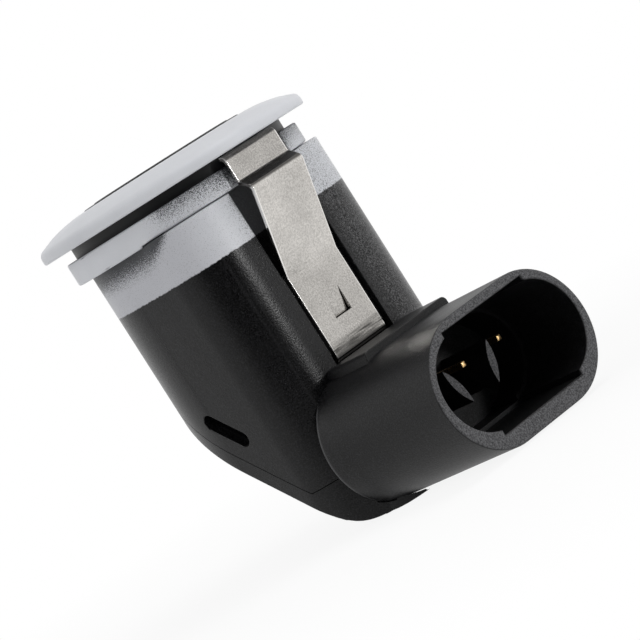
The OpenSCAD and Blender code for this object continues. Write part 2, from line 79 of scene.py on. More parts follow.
# camera: stands level with the bezel's seat, rolled as the photo is
cameraSet = {
    "distance": 310.0,  # mm from the sensor's axis
    "turn": 39.3,  # degrees from the socket's axis towards -Y
    "sideStep": 4.99,  # mm to the right of the axis
    "aimDown": 192.1,  # px from the level line to the picture's middle
    "roll": 32.42,  # degrees
    "focal": 3107.0,  # px
    "picture": 640.0,  # px
    "sensor": 36.0,  # mm
    "clip": (0.01, 20.0),  # m
}


def makeCamera(s):
    turn, roll = math.radians(s["turn"]), math.radians(s["roll"])
    towards = np.array([math.cos(turn), -math.sin(turn), 0.0])
    side = np.array([math.sin(turn), math.cos(turn), 0.0])
    up = np.array([0.0, 0.0, 1.0])
    ahead = -s["focal"] * towards - s["aimDown"] * up
    ahead /= np.linalg.norm(ahead)
    right = math.cos(roll) * side - math.sin(roll) * up
    right -= right.dot(ahead) * ahead
    right /= np.linalg.norm(right)
    data = bpy.data.cameras.new("camera")
    data.sensor_width = s["sensor"]
    data.lens = s["focal"] * s["sensor"] / s["picture"]
    data.clip_start, data.clip_end = s["clip"]
    cam = bpy.data.objects.new("camera", data)
    cam.matrix_world = poseMatrix(right, -ahead, (s["distance"] * towards + s["sideStep"] * side) * mm)
    scene.collection.objects.link(cam)
    scene.camera = cam


makeCamera(cameraSet)
print("camera placed")


# helpers for node trees: a node with its inputs set or linked, and a math node's output
def addNode(tree, kind, inputs=None, **settings):
    made = tree.nodes.new(kind)
    for key, value in settings.items():
        setattr(made, key, value)
    for key, value in (inputs or {}).items():
        if isinstance(value, bpy.types.NodeSocket):
            tree.links.new(value, made.inputs[key])
        else:
            made.inputs[key].default_value = value
    return made


def doMath(tree, operation, *values):
    return addNode(tree, "ShaderNodeMath", dict(enumerate(values)), operation=operation).outputs[0]


def ramp(tree, value, low, high, outLow=0.0, outHigh=1.0):  # straight ramp between two values, clamped
    made = addNode(tree, "ShaderNodeMapRange", {"Value": value, "From Min": low, "From Max": high,
                                                "To Min": outLow, "To Max": outHigh})
    return made.outputs["Result"]


def within(tree, value, low, high, soft):  # 1 between two values, with soft ends
    over = ramp(tree, value, low - soft, low + soft)
    under = ramp(tree, value, high + soft, high - soft)
    return doMath(tree, "MULTIPLY", over, under)


def blendColour(tree, share, first, second):
    made = addNode(tree, "ShaderNodeMix", {"Factor": share}, data_type="RGBA")
    for key, value in (("A", first), ("B", second)):
        socket = [s for s in made.inputs if s.name == key and s.type == "RGBA"][0]
        if isinstance(value, bpy.types.NodeSocket):
            tree.links.new(value, socket)
        else:
            socket.default_value = (*value, 1.0)
    return [s for s in made.outputs if s.type == "RGBA"][0]


def newGroup(name, inputs, outputs):
    tree = bpy.data.node_groups.new(name, "ShaderNodeTree")
    for label, value in inputs.items():
        socket = tree.interface.new_socket(label, in_out="INPUT", socket_type="NodeSocketFloat")
        socket.default_value = value
    for label in outputs:
        tree.interface.new_socket(label, in_out="OUTPUT", socket_type="NodeSocketFloat")
    return tree, tree.nodes.new("NodeGroupInput"), tree.nodes.new("NodeGroupOutput")


def useGroup(tree, group, inputs):
    return addNode(tree, "ShaderNodeGroup", inputs, node_tree=group).outputs


def objectPoint(tree):
    return addNode(tree, "ShaderNodeTexCoord").outputs["Object"]


def noise(tree, scale, detail, roughness=0.5, point=None):
    place = objectPoint(tree) if point is None else point
    made = addNode(tree, "ShaderNodeTexNoise", {"Vector": place, "Scale": scale, "Detail": detail,
                                                "Roughness": roughness})
    return made.outputs["Fac"]


noiseSpan = (0.3, 0.7)  # where nearly all values of a noise lie


# grain: two noises, a fine one and a coarser one, as height and as tone; all scales are per m
grainSet = {"detail": 2.0, "roughness": 0.6, "coarser": 4.0, "coarseDetail": 1.0}


def makeGrainGroup(s):
    tree, given, result = newGroup("mouldGrain", {"Scale": 7000.0, "Coarse": 0.35}, ["Height", "Tone"])
    fine = noise(tree, given.outputs["Scale"], s["detail"], s["roughness"])
    wide = doMath(tree, "DIVIDE", given.outputs["Scale"], s["coarser"])
    coarse = noise(tree, wide, s["coarseDetail"])
    lifted = doMath(tree, "MULTIPLY", coarse, given.outputs["Coarse"])
    tree.links.new(doMath(tree, "ADD", fine, lifted), result.inputs["Height"])
    tree.links.new(ramp(tree, fine, *noiseSpan), result.inputs["Tone"])
    return tree


# spray: fine threshold noise that lets the plastic show through thin paint; Bare is the share left bare
spraySet = {"detail": 1.0, "limit": (1.6, -0.3), "soft": 0.3}


def makeSprayGroup(s):
    tree, given, result = newGroup("spray", {"Scale": 9000.0, "Bare": 0.2}, ["Mask"])
    level = ramp(tree, noise(tree, given.outputs["Scale"], s["detail"]), *noiseSpan)
    limit = doMath(tree, "MULTIPLY_ADD", given.outputs["Bare"], *s["limit"])
    mask = ramp(tree, doMath(tree, "SUBTRACT", level, limit), -s["soft"], s["soft"])
    tree.links.new(mask, result.inputs["Mask"])
    return tree


# speckle: one fine noise with hard contrast; the further up From and To lie, the fewer specks there are
speckleSet = {"detail": 2.0, "roughness": 0.7}


def makeSpeckleGroup(s):
    tree, given, result = newGroup("speckle", {"Scale": 4500.0, "From": 0.36, "To": 0.64}, ["Value"])
    fine = noise(tree, given.outputs["Scale"], s["detail"], s["roughness"])
    tree.links.new(ramp(tree, fine, given.outputs["From"], given.outputs["To"]), result.inputs["Value"])
    return tree


# smudge: slow noise for uneven gloss and tone
smudgeSet = {"detail": 3.0, "roughness": 0.55}


def makeSmudgeGroup(s):
    tree, given, result = newGroup("smudge", {"Scale": 150.0, "High": 1.0}, ["Value"])
    slow = noise(tree, given.outputs["Scale"], s["detail"], s["roughness"])
    tree.links.new(ramp(tree, slow, *noiseSpan, outHigh=given.outputs["High"]), result.inputs["Value"])
    return tree


grainGroup = makeGrainGroup(grainSet)
sprayGroup = makeSprayGroup(spraySet)
speckleGroup = makeSpeckleGroup(speckleSet)
smudgeGroup = makeSmudgeGroup(smudgeSet)
print("shared effects made")


# helpers for finishes: an empty material, a shader in one, and what the shader is fed
def emptyMaterial(name):
    made = bpy.data.materials.new(name)
    made.use_nodes = True
    made.node_tree.nodes.clear()
    return made, made.node_tree


def newMaterial(name, specular, metallic=0.0):
    made, tree = emptyMaterial(name)
    shader = addNode(tree, "ShaderNodeBsdfPrincipled", {"Specular IOR Level": specular, "Metallic": metallic})
    addNode(tree, "ShaderNodeOutputMaterial", {"Surface": shader.outputs["BSDF"]}, is_active_output=True)
    return made, tree, shader


def feed(tree, shader, colour, roughness, height, depth):
    bump = addNode(tree, "ShaderNodeBump", {"Height": height, "Distance": depth * mm})
    tree.links.new(colour, shader.inputs["Base Color"])
    tree.links.new(roughness, shader.inputs["Roughness"])
    tree.links.new(bump.outputs["Normal"], shader.inputs["Normal"])


def grainAndCloud(tree, s, scale):
    grain = useGroup(tree, grainGroup, {"Scale": scale, "Coarse": s["grainCoarse"]})
    cloud = useGroup(tree, smudgeGroup, {"Scale": s["cloudScale"], "High": s["cloudShare"]})
    return grain["Tone"], grain["Height"], cloud["Value"]


# object coordinates in mm, and the distance from the sensor's axis
def mmAxes(tree):
    scaled = addNode(tree, "ShaderNodeVectorMath", {0: objectPoint(tree), "Scale": 1.0 / mm},
                     operation="SCALE")
    return tuple(addNode(tree, "ShaderNodeSeparateXYZ", {0: scaled.outputs["Vector"]}).outputs)


def axisDistance(tree, x, y):
    square = doMath(tree, "ADD", doMath(tree, "MULTIPLY", x, x), doMath(tree, "MULTIPLY", y, y))
    return doMath(tree, "SQRT", square)


# how far a point lies to the right across the sensor, seen from the socket's lit side
rightSet = {"x": 0.633, "y": 0.774}  # a level unit vector


def rightward(tree, x, y):
    return doMath(tree, "ADD", doMath(tree, "MULTIPLY", x, rightSet["x"]),
                  doMath(tree, "MULTIPLY", y, rightSet["y"]))


# painted bezel: satin silver paint, black in the groove behind the rim, thin on the flange towards the groove
paintSet = {
    "paint": (0.675, 0.687, 0.718),
    "shade": (0.595, 0.606, 0.638),
    "thin": (0.05, 0.052, 0.057),
    "plastic": (0.012, 0.012, 0.013),
    "specular": 0.3,
    "roughness": (0.38, 0.48),
    "grainScale": 14000.0,
    "grainCoarse": 0.2,
    "grainShare": 0.4,
    "grainDepth": 0.006,  # mm
    "cloudScale": 260.0,
    "cloudShare": 0.5,
    "groove": (-1.14, 0.12, 0.02),  # mm along Z, and how soft
    "grooveRadius": (13.3, 13.2),  # mm
    "flangeTop": (-0.9, -1.1),  # mm
    "flange": (-3.3, -1.14),  # mm
    "flangeBare": (0.16, 0.62),  # at the flange's foot and at its top
    "thinFrom": (-5.0, -2.4),  # mm across, from full paint to thin paint
    "notch": (6.2, 4.2),  # mm from the clip's middle
    "notchBare": 0.2,
    "sprayScale": 12000.0,
}


def makeBezelPaint(s):
    made, tree, shader = newMaterial("bezelPaint", s["specular"])
    x, y, z = mmAxes(tree)
    neck = doMath(tree, "MULTIPLY", within(tree, z, *s["groove"]),
                  ramp(tree, axisDistance(tree, x, y), *s["grooveRadius"]))
    grain, height, cloud = grainAndCloud(tree, s, s["grainScale"])
    tone = doMath(tree, "MULTIPLY_ADD", grain, s["grainShare"], cloud)
    paint = blendColour(tree, tone, s["paint"], s["shade"])
    front = ramp(tree, rightward(tree, x, y), *s["thinFrom"])
    thin = doMath(tree, "MULTIPLY", front, ramp(tree, z, *s["flangeTop"]))
    upper = ramp(tree, z, *s["flange"], *s["flangeBare"])
    notch = ramp(tree, doMath(tree, "ABSOLUTE", y), *s["notch"], 0.0, s["notchBare"])
    bare = doMath(tree, "MULTIPLY", doMath(tree, "ADD", upper, notch), thin)
    dense = useGroup(tree, sprayGroup, {"Scale": s["sprayScale"], "Bare": bare})["Mask"]
    paint = blendColour(tree, dense, s["thin"], paint)
    colour = blendColour(tree, neck, paint, s["plastic"])
    feed(tree, shader, colour, ramp(tree, grain, 0.0, 1.0, *s["roughness"]), height, s["grainDepth"])
    return made


# black moulding: fine spark-eroded grain, painted sheen specks on the far side and matt on the tube;
# the housing also has a sprayed band under the flange, end faces painted paler as painted light
# and a painted highlight on the collar
mouldSet = {
    "dark": (0.0005, 0.0005, 0.0006),
    "light": (0.017, 0.017, 0.0185),
    "specular": 0.23,
    "roughness": (0.23, 0.35),
    "grainScale": 5600.0,
    "grainCoarse": 0.1,
    "grainShare": 0.5,
    "grainDepth": 0.02,  # mm
    "cloudScale": 170.0,
    "cloudShare": 0.5,
    "speckleScale": 7600.0,
    "speckleSpan": (0.44, 0.7),
    "sheenSide": (4.3, 6.2),  # mm along Y where the painted sheen specks start
    "sheenSpeckleColour": (0.16, 0.16, 0.163),
    "tube": (12.1, 13.6),  # mm along X where the finish turns matt
    "tubeRough": 0.15,
    # painted light: the mouth and the rib ends are made paler where light falls on them
    "ends": (0.13, 0.13, 0.135),
    "endsDark": (0.03, 0.03, 0.032),
    "endsScale": 6000.0,
    "endsRough": 0.25,
    "mouth": (29.05, 29.15),  # mm along X
    "ribEnd": (23.12, 23.28, 0.02),  # mm along X, and how soft
    "ribReach": (5.2, 5.0),  # mm from the middle
    "ribHeight": (-32.9, -27.5, 0.1),  # mm along Z, and how soft
    "collar": (11.2, 11.62, 0.06),  # mm along X where the tube's back edge gets a painted highlight, and how soft
    "collarReach": (8.6, 9.6),  # mm from the middle
    "collarHighlight": (0.05, 0.05, 0.052),
    "sprayEnd": (-8.35, -8.25),  # mm
    "ragged": 0.07,  # mm, how far the spray's end wanders
    "raggedScale": 2800.0,
    "raggedDetail": 3.0,
    "raggedSpan": (0.25, 0.75),
    "bare": 0.14,
    "shadeTop": -3.6,  # mm, the flange's shadow in the spray
    "shadeLow": -6.4,  # mm
    "shadeFrom": (-2.5, -4.2),  # mm across
    "shadeBare": 0.85,
    # the clip's channel: overspray mist, made pale enough to be partly painted light in the shaded channel
    "mistAndPaintedLight": (0.12, 0.122, 0.13),
    "bandPaintedShade": (0.51, 0.516, 0.548),
    "bandLeft": (2.5, -2.0),  # mm across, from lit paint to painted shade
    "bandRough": 0.1,
    "channelHalf": (4.4, 4.32),  # mm along Y
    "channelReach": (10.2, 10.3),  # mm along X
    "channelEdge": (2.6, 4.2),  # mm across
    "channelBare": 0.2,
}


def sprayBand(tree, s, p, x, y, z):  # where the housing is painted, how densely, and the clip's channel, which only mist reached
    ragged = noise(tree, s["raggedScale"], s["raggedDetail"])
    shift = ramp(tree, ragged, *s["raggedSpan"], -s["ragged"], s["ragged"])
    reached = ramp(tree, doMath(tree, "ADD", z, shift), *s["sprayEnd"])
    channel = doMath(tree, "MULTIPLY", ramp(tree, doMath(tree, "ABSOLUTE", y), *s["channelHalf"]),
                     ramp(tree, doMath(tree, "ABSOLUTE", x), *s["channelReach"]))
    mistAndPaintedLight = doMath(tree, "MULTIPLY", reached, channel)
    band = doMath(tree, "MULTIPLY", reached, doMath(tree, "SUBTRACT", 1.0, channel))
    across = rightward(tree, x, y)
    slant = doMath(tree, "SUBTRACT", across, doMath(tree, "SUBTRACT", z, s["shadeTop"]))
    shade = doMath(tree, "MULTIPLY", ramp(tree, slant, *s["shadeFrom"]),
                   ramp(tree, z, s["shadeLow"], s["shadeTop"]))
    bare = doMath(tree, "MULTIPLY_ADD", ramp(tree, across, *s["channelEdge"]), s["channelBare"], s["bare"])
    bare = doMath(tree, "MULTIPLY_ADD", shade, s["shadeBare"], bare)
    dense = useGroup(tree, sprayGroup, {"Scale": p["sprayScale"], "Bare": bare})["Mask"]
    return band, dense, mistAndPaintedLight


def endFaces(tree, s, x, y, z):  # 1 on the socket's mouth and on the ends of its ribs
    ribs = doMath(tree, "MULTIPLY", within(tree, x, *s["ribEnd"]),
                  ramp(tree, doMath(tree, "ABSOLUTE", y), *s["ribReach"]))
    ribs = doMath(tree, "MULTIPLY", ribs, within(tree, z, *s["ribHeight"]))
    return doMath(tree, "MAXIMUM", ramp(tree, x, *s["mouth"]), ribs)


def makeMould(name, s, p, sprayed):
    made, tree, shader = newMaterial(name, s["specular"])
    x, y, z = mmAxes(tree)
    grain, height, cloud = grainAndCloud(tree, s, s["grainScale"])
    few, many = s["speckleSpan"]
    speckle = useGroup(tree, speckleGroup, {"Scale": s["speckleScale"], "From": few, "To": many})["Value"]
    colour = blendColour(tree, speckle, s["dark"], s["light"])
    # painted sheen: pale specks on the far side stand in for light glancing off the grain
    sheenMask = doMath(tree, "MULTIPLY", ramp(tree, y, *s["sheenSide"]), ramp(tree, x, *reversed(s["tube"])))
    colour = blendColour(tree, doMath(tree, "MULTIPLY", sheenMask, speckle), colour, s["sheenSpeckleColour"])
    tone = doMath(tree, "MULTIPLY_ADD", grain, s["grainShare"], cloud)
    gloss = doMath(tree, "ADD", ramp(tree, tone, 0.0, 1.0, *s["roughness"]),
                   ramp(tree, x, *s["tube"], 0.0, s["tubeRough"]))
    if sprayed:
        # painted light on the socket's mouth and rib ends, with a speckled tone
        ends = endFaces(tree, s, x, y, z)
        rough = useGroup(tree, speckleGroup, {"Scale": s["endsScale"]})["Value"]
        colour = blendColour(tree, ends, colour, blendColour(tree, rough, s["endsDark"], s["ends"]))
        # painted highlight along the tube's back edge
        collarGlint = doMath(tree, "MULTIPLY", within(tree, x, *s["collar"]),
                      ramp(tree, doMath(tree, "ABSOLUTE", y), *s["collarReach"]))
        colour = blendColour(tree, collarGlint, colour, s["collarHighlight"])
        band, dense, mistAndPaintedLight = sprayBand(tree, s, p, x, y, z)
        # the channel's pale colour is partly overspray and partly painted light in the shaded channel
        colour = blendColour(tree, mistAndPaintedLight, colour, s["mistAndPaintedLight"])
        # painted shade: the band turns darker towards its left, where less light falls
        left = ramp(tree, rightward(tree, x, y), *s["bandLeft"])
        paint = blendColour(tree, left, blendColour(tree, cloud, p["paint"], p["shade"]), s["bandPaintedShade"])
        colour = blendColour(tree, band, colour, blendColour(tree, dense, p["thin"], paint))
        gloss = doMath(tree, "MULTIPLY_ADD", ends, s["endsRough"], gloss)
        gloss = doMath(tree, "MULTIPLY_ADD", band, s["bandRough"], gloss)
    feed(tree, shader, colour, gloss, height, s["grainDepth"])
    return made


# rolled spring steel: specks and faint streaks across the strip, with painted highlights along its edges,
# painted shade on the leg, the plate and in the shoulder's step, and darker at the foot's bend
steelSet = {
    "bright": (0.74, 0.715, 0.68),
    "dull": (0.32, 0.308, 0.29),
    # painted highlight colour for the strip's edges
    "edge": (0.93, 0.91, 0.88),
    # painted shade for the shoulder's step, also used to darken the foot's bend
    "shaded": (0.045, 0.043, 0.04),
    "specular": 0.5,
    "roughness": (0.13, 0.2),
    "grainScale": 7000.0,
    "grainCoarse": 0.6,
    "grainDepth": 0.003,  # mm
    "cloudScale": 240.0,
    "cloudShare": 0.3,
    "speckleScale": 5600.0,
    "speckleShare": 0.45,
    "streaks": (500.0, 420.0, 5200.0),  # per m along X, Y and Z
    "streakDetail": 3.0,
    "streakShare": 0.12,
    "legAndPlateShade": [(-3.4, -2.9, 0.38), (-12.5, -14.5, 0.27)],  # painted shade on the leg and the plate: mm along Z, then how much darker and rougher
    "rim": (3.54, 3.62),  # mm from the strip's middle, where its edges carry a painted highlight
    "step": (-4.08, -3.08, 0.1),  # mm along Z, and how soft
    "stepShare": 0.9,
    "bend": (-22.3, -21.2, 0.35),  # mm along Z, and how soft
    "raggedSpan": (0.35, 0.65),
    "raggedShare": (0.2, 0.9),
}


def makeSteel(s):
    made, tree, shader = newMaterial("clipSteel", s["specular"], metallic=1.0)
    y, z = mmAxes(tree)[1:]
    along = addNode(tree, "ShaderNodeMapping", {"Vector": objectPoint(tree), "Scale": s["streaks"]})
    streak = noise(tree, 1.0, s["streakDetail"], point=along.outputs["Vector"])
    height, cloud = grainAndCloud(tree, s, s["grainScale"])[1:]
    speckle = useGroup(tree, speckleGroup, {"Scale": s["speckleScale"]})["Value"]
    tone = doMath(tree, "ADD", ramp(tree, streak, *noiseSpan, 0.0, s["streakShare"]), cloud)
    tone = doMath(tree, "MULTIPLY_ADD", speckle, s["speckleShare"], tone)
    # painted shade: the leg and the plate are made darker than the slope
    for start, end, amount in s["legAndPlateShade"]:
        tone = doMath(tree, "ADD", tone, ramp(tree, z, start, end, 0.0, amount))
    colour = blendColour(tree, tone, s["bright"], s["dull"])
    # painted highlight along the strip's edges
    rim = ramp(tree, doMath(tree, "ABSOLUTE", y), *s["rim"])
    colour = blendColour(tree, rim, colour, s["edge"])
    # painted shade in the shoulder's step
    step = doMath(tree, "MULTIPLY", within(tree, z, *s["step"]), s["stepShare"])
    ragged = ramp(tree, streak, *s["raggedSpan"], *s["raggedShare"])
    bend = doMath(tree, "MULTIPLY", within(tree, z, *s["bend"]), ragged)
    colour = blendColour(tree, doMath(tree, "MAXIMUM", step, bend), colour, s["shaded"])
    feed(tree, shader, colour, ramp(tree, tone, 0.0, 1.0, *s["roughness"]), height, s["grainDepth"])
    return made


# plain finishes of the other pieces
plainSet = {
    "specular": 0.3,
    "grainCoarse": 0.5,
    "grainShare": 0.5,
    "cloudScale": 300.0,
    "cloudShare": 0.5,
    "finishes": {  # two tones, grain scale per m, roughness, grain depth mm, metallic
        "cupCoating": ((0.006, 0.006, 0.007), (0.014, 0.014, 0.015), 9000.0, (0.35, 0.5), 0.004, 0.0),
        "ringRubber": ((0.006, 0.006, 0.006), (0.013, 0.013, 0.013), 7000.0, (0.6, 0.75), 0.006, 0.0),
        "pinGilt": ((0.86, 0.6, 0.3), (0.64, 0.42, 0.18), 8000.0, (0.22, 0.36), 0.002, 1.0),
        "piezoCeramic": ((0.72, 0.67, 0.5), (0.6, 0.55, 0.4), 6000.0, (0.5, 0.65), 0.004, 0.0),
        "dampingFoam": ((0.78, 0.77, 0.72), (0.5, 0.49, 0.46), 2200.0, (0.85, 0.95), 0.08, 0.0),
        "leadRed": ((0.5, 0.02, 0.02), (0.38, 0.015, 0.015), 3000.0, (0.3, 0.42), 0.004, 0.0),
        "leadBlack": ((0.015, 0.015, 0.015), (0.03, 0.03, 0.03), 3000.0, (0.3, 0.42), 0.004, 0.0),
        "boardLaminate": ((0.02, 0.13, 0.055), (0.035, 0.19, 0.085), 1800.0, (0.25, 0.4), 0.01, 0.0),
        "chipResin": ((0.014, 0.014, 0.015), (0.028, 0.028, 0.03), 9000.0, (0.5, 0.65), 0.004, 0.0),
        "coreFerrite": ((0.05, 0.047, 0.045), (0.085, 0.08, 0.077), 7000.0, (0.4, 0.6), 0.008, 0.0),
        "windingCopper": ((0.66, 0.27, 0.11), (0.4, 0.14, 0.05), 4000.0, (0.25, 0.4), 0.03, 1.0),
        "capacitorCan": ((0.72, 0.72, 0.74), (0.55, 0.55, 0.57), 5000.0, (0.2, 0.35), 0.003, 1.0),
        "pottingResin": ((0.03, 0.026, 0.022), (0.055, 0.048, 0.04), 1500.0, (0.18, 0.32), 0.01, 0.0),
    },
}


def makePlain(name, s):
    bright, dull, scale, roughness, depth, metallic = s["finishes"][name]
    made, tree, shader = newMaterial(name, s["specular"], metallic)
    grain, height, cloud = grainAndCloud(tree, s, scale)
    tone = doMath(tree, "MULTIPLY_ADD", grain, s["grainShare"], cloud)
    colour = blendColour(tree, tone, bright, dull)
    feed(tree, shader, colour, ramp(tree, tone, 0.0, 1.0, *roughness), height, depth)
    return made


bezelPaint = makeBezelPaint(paintSet)
housingPlastic = makeMould("housingPlastic", mouldSet, paintSet, True)
coverPlastic = makeMould("coverPlastic", mouldSet, paintSet, False)
clipSteel = makeSteel(steelSet)
plain = {name: makePlain(name, plainSet) for name in plainSet["finishes"]}
print("finishes made: paint, mouldings, steel and", len(plain), "plain ones")


# mesh helpers: quads of a grid of points, closed round or open, and a filleted path
def gridFaces(rows, cols, closed=False):
    i = np.arange(rows - 1)[:, None]
    j = np.arange(cols if closed else cols - 1)[None, :]
    k = (j + 1) % cols
    return np.stack([i * cols + j, i * cols + k, (i + 1) * cols + k, (i + 1) * cols + j], -1).reshape(-1, 4)


# each corner is replaced by an arc of its radius; a radius of 0 keeps the corner as it is
def filletPath(corners, radii, steps):
    line = [np.array(corners[0])]
    for before, corner, after, radius in zip(corners, corners[1:], corners[2:], radii):
        p, q, s = np.array(before), np.array(corner), np.array(after)
        if radius == 0:
            line.append(q)
            continue
        a, b = (p - q) / np.linalg.norm(p - q), (s - q) / np.linalg.norm(s - q)
        half = math.acos(np.clip(a.dot(b), -1, 1)) / 2
        mid = q + (a + b) / np.linalg.norm(a + b) * radius / math.sin(half)
        start, end = q + a * radius / math.tan(half) - mid, q + b * radius / math.tan(half) - mid
        turn, t = math.pi - 2 * half, np.linspace(0, 1, steps + 1)[:, None]
        line.extend(mid + (np.sin((1 - t) * turn) * start + np.sin(t * turn) * end) / math.sin(turn))
    line.append(np.array(corners[-1]))
    return np.array(line)


# lathe: a profile of radius and height turned about Z, P(a, k) = (r cos a, r sin a, z)
def lathe(profile, turns):
    angle = np.linspace(0, 2 * np.pi, turns, endpoint=False)
    points = np.empty((len(profile), turns, 3))
    points[..., 0] = profile[:, :1] * np.cos(angle)
    points[..., 1] = profile[:, :1] * np.sin(angle)
    points[..., 2] = profile[:, 1:]
    return points.reshape(-1, 3), gridFaces(len(profile), turns, closed=True)


def newMesh(name, points, faces, outward=True):
    mesh = bpy.data.meshes.new(name)
    mesh.from_pydata((np.asarray(points) * mm).tolist(), [], np.asarray(faces).tolist())
    bm = bmesh.new()
    bm.from_mesh(mesh)
    bmesh.ops.remove_doubles(bm, verts=bm.verts, dist=mergeGap)
    if outward:
        bmesh.ops.recalc_face_normals(bm, faces=bm.faces)
    bm.to_mesh(mesh)
    bm.free()
    mesh.shade_smooth()
    return mesh


def addPiece(name, mesh, node, material):
    piece = bpy.data.objects.new(name, mesh)
    scene.collection.objects.link(piece)
    mesh.materials.append(material)
    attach(piece, "root")
    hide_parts(node)
    return piece


def addBevel(piece, width, segments, **limit):
    made = piece.modifiers.new("softEdge", "BEVEL")
    made.width = width * mm
    made.segments = segments
    made.use_clamp_overlap = False
    made.harden_normals = True
    for key, value in limit.items():
        setattr(made, key, value)


# moulded pieces: a merged copy of the CAD surface whose outer convex edges are rolled over
rollSet = {
    "digits": 4,  # decimals of a mm that tell two points apart
    "flat": 0.3,  # degrees, faces that turn less become one
    "sharp": 28.0,  # degrees, edges that turn more can be rolled
    "segments": 3,
}


def mergedCopy(node, name, s):
    old = nodes[node].data
    points = np.empty(len(old.vertices) * 3)
    corners = np.empty(len(old.loops), dtype=int)
    old.vertices.foreach_get("co", points)
    old.loops.foreach_get("vertex_index", corners)
    rounded = np.round(points.reshape(-1, 3) / mm, s["digits"])
    unique, where = np.unique(rounded, axis=0, return_inverse=True)
    faces = where.reshape(-1)[corners].reshape(-1, 3)
    kept = (faces[:, 0] != faces[:, 1]) & (faces[:, 1] != faces[:, 2]) & (faces[:, 2] != faces[:, 0])
    return newMesh(name, unique, faces[kept], outward=False)


def bisect(bm, place, facing, **choice):
    return bmesh.ops.bisect_plane(bm, geom=bm.verts[:] + bm.edges[:] + bm.faces[:], plane_co=place,
                                  plane_no=facing, dist=mergeGap, **choice)


def softCopy(node, name, material, s):
    mesh = mergedCopy(node, name, rollSet)
    bm = bmesh.new()
    bm.from_mesh(mesh)
    for level in s.get("cuts", ()):  # extra rows of points for the shape to bend
        bisect(bm, (level * mm, 0, 0), (1, 0, 0))
    if "shape" in s:
        moved = s["shape"](np.array([v.co for v in bm.verts]) / mm) * mm
        for vert, place in zip(bm.verts, moved):
            vert.co = place
    bmesh.ops.dissolve_limit(bm, angle_limit=math.radians(rollSet["flat"]), verts=bm.verts, edges=bm.edges)
    if "below" in s:  # keeps what lies under a level and closes the cut
        cut = bisect(bm, (0, 0, s["below"] * mm), (0, 0, 1), clear_outer=True)["geom_cut"]
        rim = [e for e in cut if isinstance(e, bmesh.types.BMEdge) and e.is_boundary]
        bmesh.ops.bridge_loops(bm, edges=rim)
    for number in range(s.get("sectors", 0)):  # radial cuts, so that no face goes round the bore
        turn = math.pi * (number + s["sectorShift"]) / s["sectors"]
        bisect(bm, (0, 0, 0), (-math.sin(turn), math.cos(turn), 0))
    bm.to_mesh(mesh)
    angle = np.array([e.calc_face_angle_signed(0.0) for e in bm.edges])
    middle = np.array([(e.verts[0].co + e.verts[1].co) / 2 for e in bm.edges]) / mm
    bm.free()
    sharp = math.radians(rollSet["sharp"])
    share = np.where(angle > sharp, s["round"](*middle.T), 0.0) / s["width"]
    rolled = share > 0
    mesh.shade_smooth()
    weight = mesh.attributes.new("bevel_weight_edge", "FLOAT", "EDGE")
    weight.data.foreach_set("value", share.astype(np.float32))
    crease = mesh.attributes.get("sharp_edge") or mesh.attributes.new("sharp_edge", "BOOLEAN", "EDGE")
    crease.data.foreach_set("value", (np.abs(angle) > sharp) & ~rolled)
    piece = addPiece(name, mesh, node, material)
    addBevel(piece, s["width"], rollSet["segments"], limit_method="WEIGHT")
    print(name, "edges rolled:", int(rolled.sum()))


# the seam between housing and cover, as height over x: down the slope, then level
seamSet = {
    "slopeZ": -25.305, "fall": 0.9358, "levelZ": -32.05,  # mm, mm per mm, mm
    "plate": 2.08, "footZ": -37.4,  # mm, the cover's thickness and its underside
}


def overSeam(x, z):
    return z - np.maximum(seamSet["slopeZ"] - seamSet["fall"] * x, seamSet["levelZ"])


# which edges are rolled, and how far: each "round" takes the middles of edges in mm and gives radii
housingEdges = {
    "socketX": (12.6, 29.1), "socketY": 10.05, "socketZ": -30.08, "socketHalf": 5.62,  # mm, sharp inside
    "bore": 10.1, "top": -3.2, "seam": 0.3, "tubeX": 11.25,  # mm
    "mouthX": 28.9, "mouth": 0.24, "body": 0.14,  # mm, the last two are radii
}


def housingRound(x, y, z):
    s = housingEdges
    socket = (x > s["socketX"][0]) & (x < s["socketX"][1]) & (np.abs(y) < s["socketY"])
    socket &= np.abs(z - s["socketZ"]) < s["socketHalf"]
    body = (np.hypot(x, y) > s["bore"]) & (z < s["top"])
    body &= (overSeam(x, z) > s["seam"]) | (x > s["tubeX"])
    return np.where(body & ~socket, np.where(x > s["mouthX"], s["mouth"], s["body"]), 0.0)


# the tube's collar runs out into the tube instead of ending in a step
collarSet = {
    "front": 12.0, "straight": 4.05, "middle": -30.5, "radius": 6.9,  # mm, the step in the solid
    "run": 1.9, "fullFrom": 0.5,  # mm, and the share of the radius where the full run starts
    "near": 0.02,  # mm
}


def housingShape(points):
    x, y, z = points.T
    s = collarSet
    side = np.maximum(np.abs(y) - s["straight"], 0.0)
    root = (np.abs(x - s["front"]) < s["near"]) & (np.hypot(side, z - s["middle"]) < s["radius"] + s["near"])
    run = s["run"] * np.minimum(side / (s["fullFrom"] * s["radius"]), 1.0)
    return np.stack([np.where(root, x + run, x), y, z], -1)


coverEdges = {"seam": -0.6, "front": 11.2, "body": 0.14}  # mm


def coverRound(x, y, z):
    s = coverEdges
    return np.where((overSeam(x, z) < s["seam"]) & (x < s["front"]), s["body"], 0.0)


# the cover's underside lies a little lower than the solid's, most at the heel,
# and its foot reaches further forward
footSet = {
    "sink": 0.2, "growth": 0.004, "curve": 0.0012, "bowFrom": 7.0, "bow": 0.0062,  # mm
    "pad": 11.0, "stretch": 0.24,  # mm, and mm per mm squared
    "heelRadius": 5.8, "heelEnd": 12.99,  # mm, the round between slope and foot
    "near": 0.06,  # mm
}


